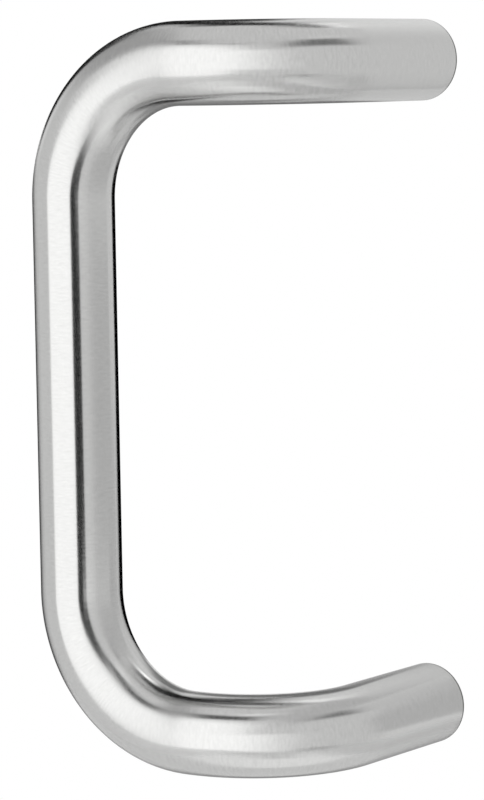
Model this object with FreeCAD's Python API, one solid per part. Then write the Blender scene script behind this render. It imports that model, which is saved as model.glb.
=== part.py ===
import FreeCAD, Part
import math
import os

# Offset door pull, made from one length of solid round stainless bar.
# Each end of the bar is bent twice: out of the grip into an arm that lies parallel to the door,
# then out of the arm into a leg that meets the door square.
# Each leg ends in a flat foot with a blind hole, drilled and tapped for a bolt through the door.
#
# Frame: the origin is midway between the two holes, in the plane of the door.
# +Z is up along the grip, +Y points into the door, and the grip is offset towards -X.

INCH = 25.4

# Bar and bends, with radii on the centre line of the bar
BAR_DIAMETER = 1.0 * INCH
GRIP_STRAIGHT = 4.75 * INCH
GRIP_BEND_RADIUS = 1.625 * INCH
ARM_STRAIGHT = 0.0625 * INCH
OFFSET_BEND_RADIUS = 1.375 * INCH
LEG_STRAIGHT = 1.75 * INCH

# Feet: rounded outer edge, and a hole at the tapping size of a 3/8 in coarse thread
FOOT_EDGE_RADIUS = 0.046875 * INCH
TAP_DRILL_DIAMETER = 0.3125 * INCH
HOLE_DEPTH = 1.125 * INCH
DRILL_POINT_ANGLE = 118.0
COUNTERSINK_WIDTH = 0.85
COUNTERSINK_ANGLE = 120.0

# Sizes that follow from those above
BAR_RADIUS = BAR_DIAMETER / 2
TAP_DRILL_RADIUS = TAP_DRILL_DIAMETER / 2
HOLE_CENTRES = GRIP_STRAIGHT + 2 * GRIP_BEND_RADIUS
OFFSET = GRIP_BEND_RADIUS + ARM_STRAIGHT + OFFSET_BEND_RADIUS
GRIP_PROJECTION = LEG_STRAIGHT + OFFSET_BEND_RADIUS
DRILL_POINT_LENGTH = TAP_DRILL_RADIUS / math.tan(math.radians(DRILL_POINT_ANGLE / 2))
COUNTERSINK_DEPTH = COUNTERSINK_WIDTH / math.tan(math.radians(COUNTERSINK_ANGLE / 2))

# An edge whose middle is this close to the plane of the door lies in it
PLANE_TOLERANCE = 0.001

UP = FreeCAD.Vector(0, 0, 1)
INTO_DOOR = FreeCAD.Vector(0, 1, 0)
AWAY_FROM_DOOR = FreeCAD.Vector(0, -1, 0)
TO_GRIP = FreeCAD.Vector(-1, 0, 0)


def bend(start, heading, turn_to, radius):
    """Quarter-circle edge that leaves start along heading and ends along turn_to, and its end point."""
    half_turn = math.radians(45)
    ahead = radius * math.sin(half_turn)
    aside = radius * (1 - math.cos(half_turn))
    middle = start + heading * ahead + turn_to * aside
    end = start + heading * radius + turn_to * radius
    return Part.Arc(start, middle, end).toShape(), end


def straight(start, heading, length):
    """Line edge of this length from start, and its end point."""
    end = start + heading * length
    return Part.makeLine(start, end), end


def centre_line():
    """Wire along the middle of the bar, from the upper foot to the lower foot."""
    upper_foot = UP * (HOLE_CENTRES / 2)
    upper_leg, point = straight(upper_foot, AWAY_FROM_DOOR, LEG_STRAIGHT)
    upper_offset_bend, point = bend(point, AWAY_FROM_DOOR, TO_GRIP, OFFSET_BEND_RADIUS)
    upper_arm, point = straight(point, TO_GRIP, ARM_STRAIGHT)
    upper_grip_bend, point = bend(point, TO_GRIP, -UP, GRIP_BEND_RADIUS)
    grip, point = straight(point, -UP, GRIP_STRAIGHT)
    lower_grip_bend, point = bend(point, -UP, -TO_GRIP, GRIP_BEND_RADIUS)
    lower_arm, point = straight(point, -TO_GRIP, ARM_STRAIGHT)
    lower_offset_bend, point = bend(point, -TO_GRIP, INTO_DOOR, OFFSET_BEND_RADIUS)
    lower_leg, point = straight(point, INTO_DOOR, LEG_STRAIGHT)
    return Part.Wire(
        [
            upper_leg,
            upper_offset_bend,
            upper_arm,
            upper_grip_bend,
            grip,
            lower_grip_bend,
            lower_arm,
            lower_offset_bend,
            lower_leg,
        ]
    )


def bent_bar(path):
    """Round bar carried along the centre line."""
    section = Part.Wire([Part.makeCircle(BAR_RADIUS, path.Vertexes[0].Point, AWAY_FROM_DOOR)])
    return path.makePipeShell([section], True, False)


def round_foot_edges(bar):
    """Bar with a small round along the outer edge of each foot."""
    rims = [edge for edge in bar.Edges if abs(edge.CenterOfMass.y) < PLANE_TOLERANCE]
    return bar.makeFillet(FOOT_EDGE_RADIUS, rims)


def bolt_hole(foot_centre):
    """Space of one blind hole: countersunk mouth, round wall at the tapping size, drill point."""
    mouth_radius = TAP_DRILL_RADIUS + COUNTERSINK_WIDTH
    mouth = Part.makeCone(mouth_radius, TAP_DRILL_RADIUS, COUNTERSINK_DEPTH, foot_centre, AWAY_FROM_DOOR)
    wall = Part.makeCylinder(TAP_DRILL_RADIUS, HOLE_DEPTH, foot_centre, AWAY_FROM_DOOR)
    bottom = foot_centre + AWAY_FROM_DOOR * HOLE_DEPTH
    point = Part.makeCone(TAP_DRILL_RADIUS, 0, DRILL_POINT_LENGTH, bottom, AWAY_FROM_DOOR)
    return mouth.fuse([wall, point])


def pull_bar():
    """The whole pull: bent bar, rounded foot edges, both bolt holes."""
    bar = round_foot_edges(bent_bar(centre_line()))
    upper_hole = bolt_hole(UP * (HOLE_CENTRES / 2))
    lower_hole = bolt_hole(-UP * (HOLE_CENTRES / 2))
    return bar.cut([upper_hole, lower_hole])


os.makedirs("parts", exist_ok=True)
shape = pull_bar()
solid = shape.Solids[0]
solid.exportStep("parts/pull_bar.step")

print("pull_bar: solids", len(shape.Solids), "valid", solid.isValid(), "volume mm3", round(solid.Volume, 1))
print("hole centres", HOLE_CENTRES, "offset", OFFSET, "projection", GRIP_PROJECTION + BAR_RADIUS)
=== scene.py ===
import logging
import math
from dataclasses import dataclass, field
from enum import Enum
from typing import Any

import bpy
import numpy as np
from mathutils import Matrix, Vector


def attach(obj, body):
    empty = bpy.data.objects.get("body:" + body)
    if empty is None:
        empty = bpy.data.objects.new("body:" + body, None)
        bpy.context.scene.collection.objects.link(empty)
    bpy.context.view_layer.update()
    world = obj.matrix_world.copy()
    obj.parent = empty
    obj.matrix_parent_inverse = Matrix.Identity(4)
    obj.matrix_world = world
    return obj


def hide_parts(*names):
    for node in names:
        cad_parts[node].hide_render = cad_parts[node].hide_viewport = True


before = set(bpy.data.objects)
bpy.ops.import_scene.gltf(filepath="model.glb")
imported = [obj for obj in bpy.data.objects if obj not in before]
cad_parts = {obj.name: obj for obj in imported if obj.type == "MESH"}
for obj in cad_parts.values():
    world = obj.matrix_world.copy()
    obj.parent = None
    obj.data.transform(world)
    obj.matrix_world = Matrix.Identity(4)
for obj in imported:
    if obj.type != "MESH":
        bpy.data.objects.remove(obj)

LOG = logging.getLogger("offset_pull")

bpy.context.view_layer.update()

MM = 0.001
INCH = 25.4 * MM

UP = np.array([0.0, 0.0, 1.0])
AWAY_FROM_DOOR = np.array([0.0, -1.0, 0.0])
TO_GRIP = np.array([-1.0, 0.0, 0.0])

# Middle of the pull, which the studio is set up around
MIDDLE = (-0.039, -0.046, 0.0)


class Tone(Enum):
    """How bright a studio card looks, as a share of plain white."""

    STRIP_LIGHT = 2.6
    SOFTBOX = 1.6
    REFLECTOR = 1.15
    PALE_GREY = 0.86
    MID_GREY = 0.68
    SOFT_GREY = 0.5
    DEEP_GREY = 0.35
    DARK_GREY = 0.2
    BLACK = 0.0


def linear_rgba(hex_colour: str) -> tuple[float, float, float, float]:
    """Turn an sRGB hex colour into linear RGBA.

    Args:
        hex_colour: colour as "#RRGGBB".

    Returns:
        Linear red, green and blue, and an alpha of 1.
    """
    srgb = np.array([int(hex_colour[i : i + 2], 16) for i in (1, 3, 5)]) / 255.0
    linear = np.where(srgb <= 0.04045, srgb / 12.92, ((srgb + 0.055) / 1.055) ** 2.4)
    return (float(linear[0]), float(linear[1]), float(linear[2]), 1.0)


def add_node(
    tree: bpy.types.NodeTree,
    kind: str,
    settings: dict[str, Any] | None = None,
    inputs: dict[Any, Any] | None = None,
    links: dict[Any, bpy.types.NodeSocket] | None = None,
) -> bpy.types.Node:
    """Add one node with its settings, input values and incoming links.

    Args:
        tree: node tree that takes the node.
        kind: Blender's type name of the node.
        settings: attribute values of the node, by name.
        inputs: values of its input sockets, by name or index.
        links: output sockets to join to its input sockets, by name or index.

    Returns:
        The new node.
    """
    node = tree.nodes.new(kind)
    for name, value in (settings or {}).items():
        setattr(node, name, value)
    for key, value in (inputs or {}).items():
        node.inputs[key].default_value = value
    for key, socket in (links or {}).items():
        tree.links.new(socket, node.inputs[key])
    return node


def smooth_step(value: np.ndarray) -> np.ndarray:
    """Ease from 0 to 1: 3x^2 - 2x^3, with x clipped to that range."""
    clipped = np.clip(value, 0.0, 1.0)
    return clipped * clipped * (3.0 - 2.0 * clipped)


@dataclass(frozen=True)
class SatinStainless:
    """Stainless steel bar, belt-polished around its girth to a satin finish.

    The polishing lines run round the bar, so reflections stay crisp across it and are drawn out
    along it. To the eye that is a soft grain in the bright band and long streaks on the arms.

    Args:
        name: material name.
        steel_hex: colour of the polished steel.
        line_hex: colour in the deeper polishing lines.
        painted_rim_reflection_hex: colour of the rounded rim of each foot, a painted dark
            reflection.
        roughness: mean roughness of the polished steel.
        roughness_swing: how far the roughness departs from its mean.
        anisotropy: stretch of the highlight along the bar.
        line_spacing: width of a polishing line along the bar. Real lines are near 0.05 mm, too fine
            for the picture, so they are drawn coarser.
        line_length: length of a polishing line around the bar.
        line_depth: depth of the polishing lines.
        line_detail: levels of finer lines within the lines.
        line_grain: strength of each finer level.
        ripple_spacing: spacing of the faint waviness that hand polishing leaves.
        ripple_depth: depth of that waviness.
        ripple_detail: levels of finer waves within the waves.
    """

    name: str = "stainless_steel_satin_polished"
    steel_hex: str = "#D3D3D2"
    line_hex: str = "#BEBEBD"
    # Painted dark reflection on the rounded rim of each foot
    painted_rim_reflection_hex: str = "#62625F"
    roughness: float = 0.22
    roughness_swing: float = 0.06
    anisotropy: float = 0.9
    line_spacing: float = 0.6 * MM
    line_length: float = 2.5 * MM
    line_depth: float = 0.0003 * MM
    line_detail: float = 3.0
    line_grain: float = 0.6
    ripple_spacing: float = 14.0 * MM
    ripple_depth: float = 0.006 * MM
    ripple_detail: float = 1.0

    def build(self, rim: tuple[float, float]) -> bpy.types.Material:
        """Make the node material.

        Args:
            rim: distances from the middle of the grip between which the painted dark reflection of
                each foot's rim lies.

        Returns:
            The satin steel material.
        """
        material = bpy.data.materials.new(self.name)
        material.use_nodes = True
        tree = material.node_tree
        tree.nodes.clear()
        # The bar as if straight, so that the lines and ripples follow it round its bends
        bar = add_node(tree, "ShaderNodeAttribute", {"attribute_name": PullBar.STRAIGHT})
        along, around = 1.0 / self.line_spacing, 1.0 / self.line_length
        lines_at = add_node(
            tree,
            "ShaderNodeMapping",
            inputs={"Scale": (along, around, around)},
            links={"Vector": bar.outputs["Vector"]},
        )
        lines = add_node(
            tree,
            "ShaderNodeTexNoise",
            inputs={"Scale": 1.0, "Detail": self.line_detail, "Roughness": self.line_grain},
            links={"Vector": lines_at.outputs["Vector"]},
        )
        ripple = add_node(
            tree,
            "ShaderNodeTexNoise",
            inputs={"Scale": 1.0 / self.ripple_spacing, "Detail": self.ripple_detail},
            links={"Vector": bar.outputs["Vector"]},
        )
        colour = add_node(
            tree,
            "ShaderNodeMix",
            {"data_type": "RGBA"},
            {"A": linear_rgba(self.line_hex), "B": linear_rgba(self.steel_hex)},
            {"Factor": lines.outputs["Fac"]},
        )
        # Painted dark reflection: a thin dark line painted round the rim of each foot
        place = add_node(tree, "ShaderNodeSeparateXYZ", links={"Vector": bar.outputs["Vector"]})
        from_middle = add_node(
            tree, "ShaderNodeMath", {"operation": "ABSOLUTE"}, links={0: place.outputs["X"]}
        )
        on_painted_rim = add_node(
            tree,
            "ShaderNodeMath",
            {"operation": "COMPARE"},
            {1: (rim[0] + rim[1]) / 2.0, 2: (rim[1] - rim[0]) / 2.0},
            {0: from_middle.outputs["Value"]},
        )
        with_painted_rim = add_node(
            tree,
            "ShaderNodeMix",
            {"data_type": "RGBA"},
            {"B": linear_rgba(self.painted_rim_reflection_hex)},
            {"Factor": on_painted_rim.outputs["Value"], "A": colour.outputs["Result"]},
        )
        # Rougher and smoother lines, the fine grain in the reflections
        roughness = add_node(
            tree,
            "ShaderNodeMapRange",
            inputs={
                "To Min": self.roughness - self.roughness_swing,
                "To Max": self.roughness + self.roughness_swing,
            },
            links={"Value": lines.outputs["Fac"]},
        )
        wavy = add_node(
            tree,
            "ShaderNodeBump",
            inputs={"Strength": 1.0, "Distance": self.ripple_depth},
            links={"Height": ripple.outputs["Fac"]},
        )
        lined = add_node(
            tree,
            "ShaderNodeBump",
            inputs={"Strength": 1.0, "Distance": self.line_depth},
            links={"Height": lines.outputs["Fac"], "Normal": wavy.outputs["Normal"]},
        )
        tangent = add_node(
            tree, "ShaderNodeTangent", {"direction_type": "UV_MAP", "uv_map": PullBar.UV}
        )
        steel = add_node(
            tree,
            "ShaderNodeBsdfPrincipled",
            inputs={"Metallic": 1.0, "Anisotropic": self.anisotropy},
            links={
                "Base Color": with_painted_rim.outputs["Result"],
                "Roughness": roughness.outputs["Result"],
                "Normal": lined.outputs["Normal"],
                "Tangent": tangent.outputs["Tangent"],
            },
        )
        add_node(tree, "ShaderNodeOutputMaterial", links={"Surface": steel.outputs["BSDF"]})
        return material


@dataclass
class BarPath:
    """Centre line of the bent bar, from the upper foot to the lower foot.

    Args:
        grip_straight: straight length of the grip.
        grip_bend: centre-line radius where the grip turns into an arm.
        arm_straight: straight length between the two bends of an arm.
        offset_bend: centre-line radius where an arm turns towards the door.
        leg_straight: straight length of a leg, from the door to its bend.
        bend_rows: rings on each quarter bend.
        straight_rows: rings on each straight run.
    """

    # Distances this close to the end of a run belong to it
    TOLERANCE = 1e-12

    grip_straight: float = 4.75 * INCH
    grip_bend: float = 1.625 * INCH
    arm_straight: float = 0.0625 * INCH
    offset_bend: float = 1.375 * INCH
    leg_straight: float = 1.75 * INCH
    bend_rows: int = 56
    straight_rows: int = 8

    @property
    def hole_centres(self) -> float:
        """Distance between the two bolt holes."""
        return self.grip_straight + 2.0 * self.grip_bend

    @property
    def length(self) -> float:
        """Length of the whole centre line."""
        bends = math.pi * (self.grip_bend + self.offset_bend)
        return bends + self.grip_straight + 2.0 * (self.arm_straight + self.leg_straight)

    def runs(self) -> list[tuple[np.ndarray, np.ndarray | None, float]]:
        """List the straights and bends in order.

        Returns:
            Heading, direction turned to (None on a straight), and length or bend radius.
        """
        out, side, down = AWAY_FROM_DOOR, TO_GRIP, -UP
        return [
            (out, None, self.leg_straight),
            (out, side, self.offset_bend),
            (side, None, self.arm_straight),
            (side, down, self.grip_bend),
            (down, None, self.grip_straight),
            (down, -side, self.grip_bend),
            (-side, None, self.arm_straight),
            (-side, -out, self.offset_bend),
            (-out, None, self.leg_straight),
        ]

    def frames(self, at: np.ndarray) -> tuple[np.ndarray, np.ndarray, np.ndarray]:
        """Place points and cross directions along the centre line.

        On a straight, a point is start + heading * d. On a bend of radius R it is
        start + R sin(a) heading + R (1 - cos(a)) turn, with a = d / R, and the two cross
        directions turn with it about the bend's axis, so the section never twists.

        Args:
            at: distances along the centre line from the upper foot.

        Returns:
            Points, first cross directions and second cross directions, one row each per distance.
        """
        points = np.zeros((len(at), 3))
        first = np.zeros((len(at), 3))
        second = np.zeros((len(at), 3))
        start = UP * (self.hole_centres / 2.0)
        one, two = UP, np.cross(AWAY_FROM_DOOR, UP)
        passed = 0.0
        for heading, turn, size in self.runs():
            length = size if turn is None else size * math.pi / 2.0
            here = (at >= passed - self.TOLERANCE) & (at <= passed + length + self.TOLERANCE)
            d = (at[here] - passed)[:, None]
            if turn is None:
                points[here] = start + d * heading
                first[here], second[here] = one, two
                start = start + length * heading
            else:
                sine, cosine = np.sin(d / size), np.cos(d / size)
                points[here] = start + size * sine * heading + size * (1.0 - cosine) * turn
                ahead, aside = cosine * heading + sine * turn, cosine * turn - sine * heading
                axis = np.cross(heading, turn)
                first[here] = (one @ axis) * axis + (one @ heading) * ahead + (one @ turn) * aside
                second[here] = (two @ axis) * axis + (two @ heading) * ahead + (two @ turn) * aside
                start = start + size * (heading + turn)
                one = (one @ axis) * axis + (one @ heading) * turn - (one @ turn) * heading
                two = (two @ axis) * axis + (two @ heading) * turn - (two @ turn) * heading
            passed += length
        return points, first, second

    def rings_at(self, trim: float) -> np.ndarray:
        """Choose where rings go along the skin, close together on the bends.

        Args:
            trim: length at each end that belongs to the rounded foot edge.

        Returns:
            Rising distances along the centre line.
        """
        marks, passed = [], 0.0
        for _, turn, size in self.runs():
            length = size if turn is None else size * math.pi / 2.0
            rows = self.straight_rows if turn is None else self.bend_rows
            marks.append(passed + length * np.arange(rows) / rows)
            passed += length
        inner = np.concatenate(marks)
        inner = inner[(inner > trim) & (inner < passed - trim)]
        return np.concatenate([[trim], inner, [passed - trim]])


@dataclass
class TappedFoot:
    """Foot of a leg: rounded rim, flat face, and a blind tapped hole.

    Args:
        bar_radius: radius of the bar.
        edge_radius: rounding of the outer rim.
        tap_radius: radius of the drilled hole, which the thread crests keep.
        thread_radius: radius at the thread roots.
        pitch: thread pitch, 16 to the inch.
        hole_depth: depth of the drilled wall.
        thread_depth: depth to which the tap reached.
        crest_flat: flat on the thread's crests, as a share of the pitch.
        root_flat: flat in the thread's roots, as a share of the pitch.
        run_out_turns: turns over which the thread fades out at its bottom.
        drill_angle: included angle of the drill point, in degrees.
        countersink_width: radial width of the countersunk mouth.
        countersink_angle: included angle of the countersink, in degrees.
        cone_rows: rings on the drill cone.
        cone_tip: smallest ring of the drill cone, as a share of the hole's radius.
        rows_per_pitch: rings on each turn of the thread.
        edge_rows: rings on the rounded rim.
        face_rows: rings across the flat face.
    """

    bar_radius: float = 0.5 * INCH
    edge_radius: float = 0.046875 * INCH
    tap_radius: float = 0.15625 * INCH
    thread_radius: float = 0.1875 * INCH
    pitch: float = INCH / 16.0
    hole_depth: float = 1.125 * INCH
    thread_depth: float = 0.98 * INCH
    crest_flat: float = 0.25
    root_flat: float = 0.125
    run_out_turns: float = 2.0
    drill_angle: float = 118.0
    countersink_width: float = 0.85 * MM
    countersink_angle: float = 120.0
    cone_rows: int = 4
    cone_tip: float = 0.08
    rows_per_pitch: int = 10
    edge_rows: int = 7
    face_rows: int = 5

    @property
    def edge_length(self) -> float:
        """Length of the quarter circle round the rim."""
        return self.edge_radius * math.pi / 2.0

    @property
    def point_length(self) -> float:
        """Length of the cone that the drill point leaves."""
        return self.tap_radius / math.tan(math.radians(self.drill_angle / 2.0))

    def profile(self) -> tuple[np.ndarray, np.ndarray, np.ndarray]:
        """Trace the foot from the bottom of its hole out to the bar's skin.

        The trace is the drill cone, the hole's wall, the countersink, the flat face, and a quarter
        circle round the rim.

        Returns:
            Depth behind the foot's face, radius, and share of the thread's full height, for each
            ring.
        """
        cone = np.linspace(self.cone_tip, 1.0, self.cone_rows)
        cone_depth = self.hole_depth + self.point_length * (1.0 - cone)
        mouth = self.countersink_width / math.tan(math.radians(self.countersink_angle / 2.0))
        rows = int(self.rows_per_pitch * self.hole_depth / self.pitch)
        wall_depth = np.linspace(self.hole_depth, 0.0, rows)[1:]
        widened = np.clip(1.0 - wall_depth / mouth, 0.0, 1.0)
        countersunk = self.tap_radius + self.countersink_width * widened
        face_inner = self.tap_radius + self.countersink_width
        face_outer = self.bar_radius - self.edge_radius
        face = np.linspace(face_inner, face_outer, self.face_rows)
        turn = np.linspace(0.0, math.pi / 2.0, self.edge_rows)[1:]
        rim_depth = self.edge_radius * (1.0 - np.cos(turn))
        rim = self.bar_radius - self.edge_radius * (1.0 - np.sin(turn))
        run_out = smooth_step(
            (self.thread_depth - wall_depth) / (self.run_out_turns * self.pitch)
        )
        depth = np.concatenate([cone_depth, wall_depth, np.zeros(len(face) - 1), rim_depth])
        radius = np.concatenate([self.tap_radius * cone, countersunk, face[1:], rim])
        thread = np.concatenate([np.zeros(len(cone)), run_out, np.zeros(len(face) - 1 + len(rim))])
        return depth, radius, thread

    def threaded(
        self, depth: np.ndarray, radius: np.ndarray, thread: np.ndarray, turn: np.ndarray
    ) -> np.ndarray:
        """Cut the thread into the rings of the hole.

        The thread's height is a trapezium wave of (depth / pitch - turn), flat on its crests and in
        its roots, and the wider of thread and hole is kept.

        Args:
            depth: depth of each ring behind the face.
            radius: plain radius of each ring.
            thread: share of the full thread height at each ring.
            turn: place of each column around the hole, from 0 to 1.

        Returns:
            Radius of every point, rings by columns.
        """
        wave = np.abs(2.0 * np.mod(depth[:, None] / self.pitch - turn[None, :], 1.0) - 1.0)
        crest = 1.0 - self.crest_flat
        height = np.clip((crest - wave) / (crest - self.root_flat), 0.0, 1.0)
        cut = self.tap_radius + (self.thread_radius - self.tap_radius) * height * thread[:, None]
        return np.where(thread[:, None] > 0.0, np.maximum(radius[:, None], cut), radius[:, None])


@dataclass
class PullBar:
    """The whole pull: one bent bar with a tapped foot at each end.

    Args:
        path: centre line of the bar.
        foot: shape of both feet.
        columns: points around each ring.
        sharp_angle: edges that turn more than this, in degrees, stay crisp.
    """

    # Names of the attribute that holds the bar as if straight, and of the UV map
    STRAIGHT = "straight_bar"
    UV = "along_and_around"

    # How far the painted dark reflection of each foot's rim runs up the skin of the bar
    RIM_OVERLAP = 0.3 * MM

    path: BarPath = field(default_factory=BarPath)
    foot: TappedFoot = field(default_factory=TappedFoot)
    columns: int = 96
    sharp_angle: float = 24.0

    def rings(self) -> tuple[np.ndarray, np.ndarray, np.ndarray]:
        """Lay out every ring from the bottom of the upper hole to the bottom of the lower one.

        Returns:
            Distance along the centre line of each ring, radius of every point (rings by columns),
            and distance along the surface of each ring from the middle of the grip.
        """
        depth, radius, thread = self.foot.profile()
        turn = np.arange(self.columns) / self.columns
        foot_radii = self.foot.threaded(depth, radius, thread, turn)
        skin = self.path.rings_at(self.foot.edge_radius)[1:-1]
        skin_radii = np.full((len(skin), self.columns), self.foot.bar_radius)
        at = np.concatenate([depth, skin, self.path.length - depth[::-1]])
        radii = np.vstack([foot_radii, skin_radii, foot_radii[::-1]])
        plain = np.concatenate([radius, skin_radii[:, 0], radius[::-1]])
        step = np.hypot(np.diff(at), np.diff(plain))
        travel = np.concatenate([[0.0], np.cumsum(step)])
        return at, radii, travel - travel[-1] / 2.0

    def build(self) -> bpy.types.Object:
        """Make the bar as one closed surface.

        A point is centre(d) + r (cos(t) first(d) + sin(t) second(d)): the ring's place on the
        centre line, its radius, and the turn t around it. The bottom of each hole is closed to a
        point.

        Returns:
            The bar, placed in the row frame.
        """
        at, radii, travel = self.rings()
        centre, first, second = self.path.frames(at)
        turn = np.arange(self.columns) / self.columns
        cosine, sine = np.cos(2.0 * math.pi * turn), np.sin(2.0 * math.pi * turn)
        around = (
            cosine[None, :, None] * first[:, None, :] + sine[None, :, None] * second[:, None, :]
        )
        grid = centre[:, None, :] + radii[:, :, None] * around
        run = np.repeat(travel[:, None], self.columns, 1)
        straight = np.stack([run, radii * cosine, radii * sine], axis=-1)
        tips = self.path.frames(self.tip_distances())[0]
        points = np.vstack([grid.reshape(-1, 3), tips])
        ends = np.array([[travel[0], 0.0, 0.0], [travel[-1], 0.0, 0.0]])
        straight = np.vstack([straight.reshape(-1, 3), ends])
        mesh = bpy.data.meshes.new("pull_bar_satin")
        self.fill(mesh, points, (travel - travel[0]) / (travel[-1] - travel[0]))
        kept = mesh.attributes.new(self.STRAIGHT, "FLOAT_VECTOR", "POINT")
        kept.data.foreach_set("vector", straight.astype(np.float32).ravel())
        mesh.shade_smooth()
        mesh.set_sharp_from_angle(angle=math.radians(self.sharp_angle))
        bar = bpy.data.objects.new("pull_bar_satin", mesh)
        bpy.context.scene.collection.objects.link(bar)
        return bar

    def tip_distances(self) -> np.ndarray:
        """Distances along the centre line of the two drill points."""
        tip = self.foot.hole_depth + self.foot.point_length
        return np.array([tip, self.path.length - tip])

    def fill(self, mesh: bpy.types.Mesh, points: np.ndarray, share: np.ndarray) -> None:
        """Put the grid of points into a mesh with its faces and UV map.

        Each cell of the grid is a four-sided face, the columns wrap round, and a fan of triangles
        closes each end. U runs along the surface and V around it.

        Args:
            mesh: empty mesh to fill.
            points: grid points ring by ring, then the two end points.
            share: place of each ring along the surface, from 0 to 1.
        """
        rows, n = len(share), self.columns
        j = np.arange(n)
        k = (j + 1) % n
        base = (np.arange(rows - 1) * n)[:, None]
        quads = np.stack([base + j, base + k, base + n + k, base + n + j], axis=-1).reshape(-1, 4)
        last = (rows - 1) * n
        near = np.stack([np.full(n, rows * n), k, j], axis=-1)
        far = np.stack([last + j, last + k, np.full(n, rows * n + 1)], axis=-1)
        mesh.from_pydata(points.tolist(), [], quads.tolist() + near.tolist() + far.tolist())
        v0, v1 = j / n, (j + 1) / n
        low, high, left, right = np.broadcast_arrays(share[:-1, None], share[1:, None], v0, v1)
        corners = ((low, left), (low, right), (high, right), (high, left))
        quad_uv = np.stack([np.stack(pair, axis=-1) for pair in corners], axis=2).reshape(-1, 2)
        near_v = np.stack([(v0 + v1) / 2.0, v1, v0], axis=-1)
        far_v = np.stack([v0, v1, (v0 + v1) / 2.0], axis=-1)
        near_uv = np.stack([np.zeros((n, 3)), near_v], axis=-1)
        far_uv = np.stack([np.ones((n, 3)), far_v], axis=-1)
        uv = np.vstack([quad_uv, near_uv.reshape(-1, 2), far_uv.reshape(-1, 2)])
        layer = mesh.uv_layers.new(name=self.UV)
        layer.data.foreach_set("uv", uv.astype(np.float32).ravel())
        mesh.update()

    def dress(self, bar: bpy.types.Object, finish: SatinStainless) -> None:
        """Give the bar its finish and tie it to the frame.

        Args:
            bar: the built bar.
            finish: its satin steel.
        """
        # Painted dark reflection round each foot: the rounded rim and a little of the skin next to
        # it
        skin_end = self.path.length / 2.0 - self.foot.edge_radius
        rim = (skin_end - self.RIM_OVERLAP, skin_end + self.foot.edge_length)
        bar.data.materials.append(finish.build(rim))
        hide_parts("pull_bar")
        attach(bar, "root")


@dataclass
class Card:
    """Flat studio card that faces the pull and shows only in its reflections.

    Args:
        name: what the card is for.
        azimuth: bearing of its middle, in degrees, 0 in front of the door and 90 towards +X.
        elevation: height of its middle above the horizon, in degrees.
        width: angle it spans from side to side, in degrees.
        height: angle it spans from bottom to top, in degrees.
        tone: how bright it looks.
        feather: shares of its half size over which its sides fade: the side of lower azimuth, the
            side of higher azimuth, the bottom and the top.
        distance: distance from the aim.
        aim: point that the card faces.
    """

    name: str
    azimuth: float
    elevation: float
    width: float
    height: float
    tone: Tone
    feather: tuple[float, float, float, float] = (0.1, 0.1, 0.1, 0.1)
    distance: float = 1.6
    aim: tuple[float, float, float] = MIDDLE

    def build(self) -> bpy.types.Object:
        """Make the card square on to the aim.

        Its corners are aim + distance (out +- tan(width / 2) across +- tan(height / 2) upright).

        Returns:
            The card.
        """
        a, e = math.radians(self.azimuth), math.radians(self.elevation)
        out = np.array([math.sin(a) * math.cos(e), -math.cos(a) * math.cos(e), math.sin(e)])
        across = np.array([math.cos(a), math.sin(a), 0.0])
        upright = np.cross(across, -out)
        half_width = math.tan(math.radians(self.width / 2.0)) * across
        half_height = math.tan(math.radians(self.height / 2.0)) * upright
        signs = np.array([(-1, -1), (1, -1), (1, 1), (-1, 1)])
        offsets = signs[:, :1] * half_width + signs[:, 1:] * half_height
        corners = np.array(self.aim) + self.distance * (out + offsets)
        mesh = bpy.data.meshes.new(self.name)
        mesh.from_pydata(corners.tolist(), [], [(3, 2, 1, 0)])
        layer = mesh.uv_layers.new(name="card")
        layer.data.foreach_set("uv", ((signs[::-1] + 1) / 2.0).astype(np.float32).ravel())
        mesh.materials.append(self.material())
        card = bpy.data.objects.new(self.name, mesh)
        bpy.context.scene.collection.objects.link(card)
        card.visible_camera = False
        return card

    def material(self) -> bpy.types.Material:
        """Make an even glow of the card's tone that fades out at its edges and shows only in front.

        Returns:
            The card's material.
        """
        material = bpy.data.materials.new(self.name)
        material.use_nodes = True
        tree = material.node_tree
        tree.nodes.clear()
        place = add_node(tree, "ShaderNodeUVMap", {"uv_map": "card"})
        parts = add_node(tree, "ShaderNodeSeparateXYZ", links={"Vector": place.outputs["UV"]})
        side = add_node(tree, "ShaderNodeNewGeometry")
        shown = add_node(
            tree,
            "ShaderNodeMath",
            {"operation": "SUBTRACT"},
            {0: 1.0},
            {1: side.outputs["Backfacing"]},
        )
        low, high, bottom, top = self.feather
        for axis, starts_at, ends_at in (
            ("X", 0.0, low / 2.0),
            ("X", 1.0, 1.0 - high / 2.0),
            ("Y", 0.0, bottom / 2.0),
            ("Y", 1.0, 1.0 - top / 2.0),
        ):
            fade = add_node(
                tree,
                "ShaderNodeMapRange",
                {"interpolation_type": "SMOOTHSTEP"},
                {"From Min": starts_at, "From Max": ends_at},
                {"Value": parts.outputs[axis]},
            )
            shown = add_node(
                tree,
                "ShaderNodeMath",
                {"operation": "MULTIPLY"},
                links={0: shown.outputs["Value"], 1: fade.outputs["Result"]},
            )
        clear = add_node(tree, "ShaderNodeBsdfTransparent")
        glow = add_node(tree, "ShaderNodeEmission", inputs={"Strength": self.tone.value})
        mix = add_node(
            tree,
            "ShaderNodeMixShader",
            links={
                0: shown.outputs["Value"],
                1: clear.outputs["BSDF"],
                2: glow.outputs["Emission"],
            },
        )
        add_node(tree, "ShaderNodeOutputMaterial", links={"Surface": mix.outputs["Shader"]})
        return material


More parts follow.
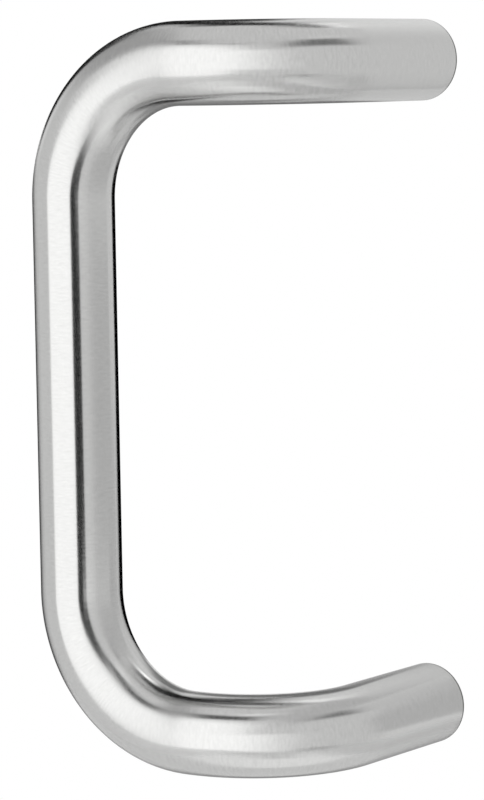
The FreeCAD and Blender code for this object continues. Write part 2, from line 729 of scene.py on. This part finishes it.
@dataclass
class Studio:
    """Plain white studio round the pull: white surround, pale floor, soft cards and camera.

    Args:
        aim: middle of the pull.
        surround_hex: colour of the surround.
        floor_drop: height of the floor.
        floor_radius: radius of the floor.
        floor_corners: corners of the round floor.
        floor_fade: shares of the radius between which the floor fades into the surround.
        floor_hex: colour of the floor.
        camera_at: place of the camera.
        camera_azimuth: bearing of the camera, in degrees.
        camera_elevation: how far it looks down, in degrees.
        camera_roll: its roll, in degrees.
        lens: focal length in millimetres on a 36 mm frame.
        clip: nearest and furthest distance that the camera sees.
    """

    aim: tuple[float, float, float] = MIDDLE
    surround_hex: str = "#FFFFFF"
    floor_drop: float = -0.9
    floor_radius: float = 2.4
    floor_corners: int = 64
    floor_fade: tuple[float, float] = (0.55, 0.98)
    floor_hex: str = "#F7F7F7"
    camera_at: tuple[float, float, float] = (0.56412, -0.91127, 0.09804)
    camera_azimuth: float = 34.888
    camera_elevation: float = 5.455
    camera_roll: float = -0.971
    lens: float = 153.508
    clip: tuple[float, float] = (0.01, 20.0)

    def cards(self) -> list[Card]:
        """List the cards that the steel reflects.

        Returns:
            The cards, each with its name, azimuth, elevation, width and height, then its tone,
            feather, distance and, where it isn't the middle of the pull, aim.
        """
        return [
            # In front: the bright band along the bar, the dark lines beside it, the grey right side
            Card(
                "front_softbox", -5.5, 5.0, 75.0, 94.0,
                Tone.SOFTBOX, (0.04, 0.02, 0.3, 0.45), 1.5,
            ),
            Card(
                "front_top_seam", 8.0, 57.0, 60.0, 14.0,
                Tone.BLACK, (0.3, 0.2, 0.1, 0.1), 1.45,
            ),
            Card(
                "corner_flag", 37.5, -8.0, 25.0, 100.0,
                Tone.BLACK, (0.03, 0.03, 0.1, 0.1), 1.42,
            ),
            Card(
                "right_near_card", 50.6, 0.0, 41.6, 121.0,
                Tone.PALE_GREY, (0.02, 0.9, 0.1, 0.1), 0.1412,
            ),
            Card(
                "right_far_card", 104.0, 0.0, 88.0, 110.0,
                Tone.PALE_GREY, (0.1, 0.1, 0.1, 0.1), 1.6,
            ),
            Card(
                "right_top_seam", 84.0, 46.5, 84.0, 20.0,
                Tone.DARK_GREY, (0.15, 0.4, 0.6, 0.3), 1.45,
            ),
            Card(
                "right_bottom_seam", 66.0, -32.5, 44.0, 9.0,
                Tone.SOFT_GREY, (0.3, 0.3, 0.5, 0.5), 1.4,
            ),
            # Left, above and below: the grey left edge, the tops and the undersides
            Card(
                "left_card", -66.0, -5.0, 50.0, 90.0,
                Tone.PALE_GREY, (0.05, 0.05, 0.1, 0.1), 1.6,
            ),
            Card(
                "left_top_card", -82.0, 42.0, 62.0, 44.0,
                Tone.SOFT_GREY, (0.6, 0.5, 0.4, 0.3), 1.55,
            ),
            Card(
                "overhead_card", 20.0, 90.0, 58.3, 50.4,
                Tone.PALE_GREY, (0.5, 0.1, 0.06, 0.04), 0.35, (0.0, -0.1243, 0.0),
            ),
            Card(
                "floor_reflector", 35.0, -84.0, 84.0, 84.0,
                Tone.REFLECTOR, (0.3, 0.3, 0.3, 0.3), 0.8,
            ),
            # Behind and low: grey bands along the undersides, and dark lower outlines
            Card(
                "rear_floor_card", -146.5, -44.0, 43.0, 36.0,
                Tone.DEEP_GREY, (0.6, 0.7, 0.3, 0.2), 0.78,
            ),
            Card(
                "rear_under_card", -135.0, -74.0, 90.0, 46.0,
                Tone.PALE_GREY, (0.2, 0.2, 0.1, 0.2), 0.7,
            ),
            Card(
                "rear_low_card", -155.0, -20.0, 70.0, 34.0,
                Tone.DARK_GREY, (0.3, 0.3, 0.3, 0.3), 1.3,
            ),
            # Behind: black outlines, and the even grey of the lower leg
            Card(
                "rear_left_flag", -108.0, -10.0, 60.0, 36.0,
                Tone.BLACK, (0.2, 1.53, 0.3, 0.3), 1.38,
            ),
            Card(
                "rear_top_flag", -142.0, 0.0, 22.6, 36.0,
                Tone.BLACK, (0.1, 0.3, 0.05, 0.3), 0.2, (-0.0387, -0.0802, 0.335),
            ),
            Card(
                "rear_right_card", 180.0, 0.0, 89.5, 64.0,
                Tone.MID_GREY, (0.1, 0.1, 0.1, 0.7), 0.12, (0.131, 0.0, -0.075),
            ),
            Card(
                "inner_flag", 180.0, 0.0, 8.6, 77.3,
                Tone.BLACK, (0.05, 0.05, 0.1, 0.1), 0.1, (-0.07, -0.16, -0.005),
            ),
            Card(
                "rear_near_flag", -142.0, 0.0, 59.8, 50.0,
                Tone.BLACK, (0.2, 0.1, 0.05, 0.05), 0.2, (-0.0782, -0.111, 0.188),
            ),
            # Behind the lower bend: its dark upper outline, and a glint with a black line beside it
            Card(
                "bend_low_flag", 180.0, 0.0, 57.0, 66.2,
                Tone.DARK_GREY, (0.2, 0.1, 0.2, 0.2), 0.115, (-0.1375, 0.0, 0.025),
            ),
            Card(
                "bend_strip_light", 180.0, 59.5, 18.0, 6.5,
                Tone.STRIP_LIGHT, (0.1, 0.8, 0.15, 0.15), 0.65, (-0.045, -0.082, -0.086),
            ),
            Card(
                "bend_top_flag", -172.0, 71.0, 30.0, 14.0,
                Tone.BLACK, (0.1, 0.1, 0.1, 0.2), 0.5, (-0.073, -0.082, -0.086),
            ),
            # Behind the legs: their even grey and a soft streak
            Card(
                "rear_mid_card", 180.0, 0.0, 61.2, 73.7,
                Tone.MID_GREY, (0.1, 0.1, 0.2, 0.2), 0.12, (-0.059, 0.0, -0.03),
            ),
            Card(
                "rear_mid_top_card", 180.0, 0.0, 62.1, 45.9,
                Tone.PALE_GREY, (0.05, 0.1, 0.5, 0.1), 0.118, (-0.059, 0.0, 0.01),
            ),
            Card(
                "right_rear_seam", 153.0, 22.0, 40.0, 12.0,
                Tone.SOFT_GREY, (0.6, 0.4, 0.7, 0.7), 1.4,
            ),
            Card(
                "rear_right_top_card", 180.0, 0.0, 87.2, 126.9,
                Tone.PALE_GREY, (0.1, 0.1, 0.1, 0.1), 0.125, (0.131, 0.0, 0.2),
            ),
            # Close by: the bright band fades along both arms, and the grip's side turns grey
            Card(
                "upper_arm_light", 42.0, 0.0, 85.0, 66.0,
                Tone.SOFTBOX, (0.1, 2.0, 0.2, 0.3), 0.06, (-0.006, -0.083, 0.111),
            ),
            Card(
                "lower_arm_light", 42.0, 0.0, 85.0, 62.4,
                Tone.SOFTBOX, (0.1, 2.0, 0.3, 0.25), 0.06, (-0.006, -0.083, -0.1135),
            ),
            Card(
                "grip_side_card", 101.0, 0.0, 78.0, 57.0,
                Tone.MID_GREY, (0.9, 0.1, 0.2, 0.2), 0.11, (-0.078, -0.08, -0.009),
            ),
        ]

    def build(self) -> None:
        """Make the surround, the floor, the cards and the camera."""
        self.surround()
        self.floor()
        for card in self.cards():
            card.build()
        self.camera()

    def surround(self) -> None:
        """Light the scene evenly from all round with plain white."""
        world = bpy.data.worlds.new("white_surround")
        world.use_nodes = True
        tree = world.node_tree
        tree.nodes.clear()
        white = add_node(
            tree,
            "ShaderNodeBackground",
            inputs={"Color": linear_rgba(self.surround_hex), "Strength": 1.0},
        )
        add_node(tree, "ShaderNodeOutputWorld", links={"Surface": white.outputs["Background"]})
        bpy.context.scene.world = world

    def floor(self) -> None:
        """Make a pale round floor whose rim fades into the white surround."""
        middle = (self.aim[0], self.aim[1], self.floor_drop)
        turn = np.linspace(0.0, 2.0 * math.pi, self.floor_corners, endpoint=False)
        circle = np.stack([np.cos(turn), np.sin(turn), np.zeros(self.floor_corners)], axis=-1)
        points = np.array(middle) + circle * self.floor_radius
        mesh = bpy.data.meshes.new("floor")
        mesh.from_pydata(points.tolist(), [], [list(range(self.floor_corners))])
        floor = bpy.data.objects.new("floor", mesh)
        bpy.context.scene.collection.objects.link(floor)
        material = bpy.data.materials.new("pale_matt_floor")
        material.use_nodes = True
        tree = material.node_tree
        tree.nodes.clear()
        place = add_node(tree, "ShaderNodeTexCoord")
        far = add_node(
            tree,
            "ShaderNodeVectorMath",
            {"operation": "DISTANCE"},
            {1: middle},
            {0: place.outputs["Object"]},
        )
        fade_from, fade_to = (share * self.floor_radius for share in self.floor_fade)
        fade = add_node(
            tree,
            "ShaderNodeMapRange",
            {"interpolation_type": "SMOOTHSTEP"},
            {"From Min": fade_from, "From Max": fade_to},
            {"Value": far.outputs["Value"]},
        )
        matt = add_node(
            tree, "ShaderNodeBsdfDiffuse", inputs={"Color": linear_rgba(self.floor_hex)}
        )
        clear = add_node(tree, "ShaderNodeBsdfTransparent")
        mix = add_node(
            tree,
            "ShaderNodeMixShader",
            links={0: fade.outputs["Result"], 1: matt.outputs["BSDF"], 2: clear.outputs["BSDF"]},
        )
        add_node(tree, "ShaderNodeOutputMaterial", links={"Surface": mix.outputs["Shader"]})
        mesh.materials.append(material)

    def camera(self) -> None:
        """Set the camera at the photograph's viewing angle."""
        a, e = math.radians(self.camera_azimuth), math.radians(self.camera_elevation)
        back = Vector((math.sin(a) * math.cos(e), -math.cos(a) * math.cos(e), math.sin(e)))
        right = Vector((math.cos(a), math.sin(a), 0.0))
        level = Matrix((right, back.cross(right), back)).transposed()
        data = bpy.data.cameras.new("camera")
        data.lens = self.lens
        data.clip_start, data.clip_end = self.clip
        camera = bpy.data.objects.new("camera", data)
        camera.matrix_world = (
            Matrix.Translation(self.camera_at)
            @ level.to_4x4()
            @ Matrix.Rotation(math.radians(self.camera_roll), 4, "Z")
        )
        bpy.context.scene.collection.objects.link(camera)
        bpy.context.scene.camera = camera


def main() -> None:
    """Build the pull and its studio."""
    logging.basicConfig(level=logging.INFO, format="%(message)s")
    bpy.context.scene.view_settings.view_transform = "Standard"
    pull = PullBar()
    bar = pull.build()
    pull.dress(bar, SatinStainless())
    LOG.info("%s: %d points, %d faces", bar.name, len(bar.data.vertices), len(bar.data.polygons))
    Studio().build()


if __name__ == "__main__":
    main()
